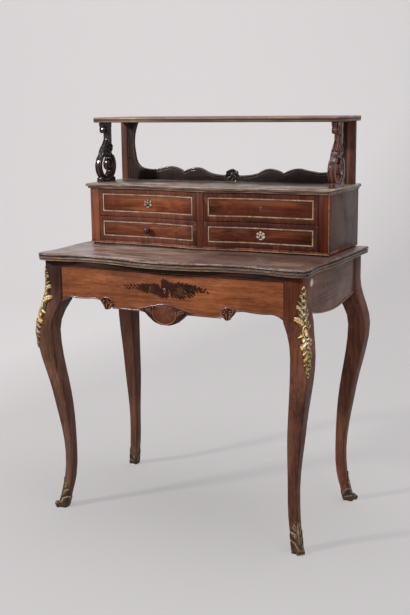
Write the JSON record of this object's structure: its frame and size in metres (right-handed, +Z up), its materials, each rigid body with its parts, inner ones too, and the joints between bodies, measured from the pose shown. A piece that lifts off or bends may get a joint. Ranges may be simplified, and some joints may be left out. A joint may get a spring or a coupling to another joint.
{
  "type": "writing desk with drawer superstructure",
  "caption": "Small writing desk on cabriole legs with a bowed apron drawer, a pull-out writing slide, and a case of small drawers below an open shelf on scroll brackets.",
  "frame": {"origin": "on the floor, at the middle of the desk's overall width and depth", "axes": "+Z up, front towards -Y, +X to the right of someone facing the front"},
  "size_m": [0.815, 0.497, 1.0975],
  "materials": {
    "rosewood": "polished",
    "warm_rosewood": "polished",
    "polished_top": "polished, lightly worn",
    "dark_carved_wood": "polished",
    "inner_oak": "matt, unpolished",
    "gilt_bronze": "gilt, worn",
    "brass_stringing": "flush, dull",
    "iron_lock": "dark"
  },
  "bodies": {
    "carcase": {"back_apron": "inner_oak", "back_post_left": "rosewood", "back_post_right": "rosewood", "console_left": "dark_carved_wood", "console_right": "dark_carved_wood", "corner_mount_left": "gilt_bronze", "corner_mount_right": "gilt_bronze", "drawer_runners": "inner_oak", "fret_board": "dark_carved_wood", "fret_carving": "dark_carved_wood", "front_rail": "warm_rosewood", "gradin_back": "inner_oak", "gradin_bottom": "inner_oak", "gradin_divider": "rosewood", "gradin_dustboards": "inner_oak", "gradin_plinth": "rosewood", "gradin_side_left": "rosewood", "gradin_side_right": "rosewood", "gradin_stiles": "rosewood", "gradin_top": "polished_top", "leg_back_left": "rosewood", "leg_back_right": "rosewood", "leg_front_left": "rosewood", "leg_front_right": "rosewood", "sabot_back_left": "gilt_bronze", "sabot_back_right": "gilt_bronze", "sabot_front_left": "gilt_bronze", "sabot_front_right": "gilt_bronze", "shelf": "polished_top", "side_apron_left": "rosewood", "side_apron_right": "rosewood", "slide_bearers": "inner_oak", "table_top": "polished_top", "top_frame": "polished_top"},
    "main_drawer": {"apron_leaves": "rosewood", "apron_shell": "rosewood", "main_drawer_back": "inner_oak", "main_drawer_bottom": "inner_oak", "main_drawer_front": "warm_rosewood", "main_drawer_lock": "iron_lock", "main_drawer_sides": "inner_oak"},
    "writing_slide": {"writing_slide": "polished_top"},
    "upper_left_drawer": {"upper_left_box": "inner_oak", "upper_left_escutcheon": "gilt_bronze", "upper_left_front": "rosewood", "upper_left_lock": "iron_lock", "upper_left_stringing": "brass_stringing"},
    "upper_right_drawer": {"upper_right_box": "inner_oak", "upper_right_front": "rosewood", "upper_right_lock": "iron_lock", "upper_right_stringing": "brass_stringing"},
    "lower_left_drawer": {"lower_left_box": "inner_oak", "lower_left_front": "rosewood", "lower_left_knob": "dark_carved_wood", "lower_left_stringing": "brass_stringing"},
    "lower_right_drawer": {"lower_right_box": "inner_oak", "lower_right_escutcheon": "gilt_bronze", "lower_right_front": "rosewood", "lower_right_lock": "iron_lock", "lower_right_stringing": "brass_stringing"}
  },
  "joints": [
    {"name": "main_drawer_slide", "type": "slide", "parent": "carcase", "child": "main_drawer", "axis": [0, -1, 0], "range_m": [0, 0.25]},
    {"name": "writing_slide_slide", "type": "slide", "parent": "carcase", "child": "writing_slide", "axis": [0, -1, 0], "range_m": [0, 0.2]},
    {"name": "upper_left_drawer_slide", "type": "slide", "parent": "carcase", "child": "upper_left_drawer", "axis": [0, -1, 0], "range_m": [0, 0.14]},
    {"name": "upper_right_drawer_slide", "type": "slide", "parent": "carcase", "child": "upper_right_drawer", "axis": [0, -1, 0], "range_m": [0, 0.14]},
    {"name": "lower_left_drawer_slide", "type": "slide", "parent": "carcase", "child": "lower_left_drawer", "axis": [0, -1, 0], "range_m": [0, 0.14]},
    {"name": "lower_right_drawer_slide", "type": "slide", "parent": "carcase", "child": "lower_right_drawer", "axis": [0, -1, 0], "range_m": [0, 0.14]}
  ]
}
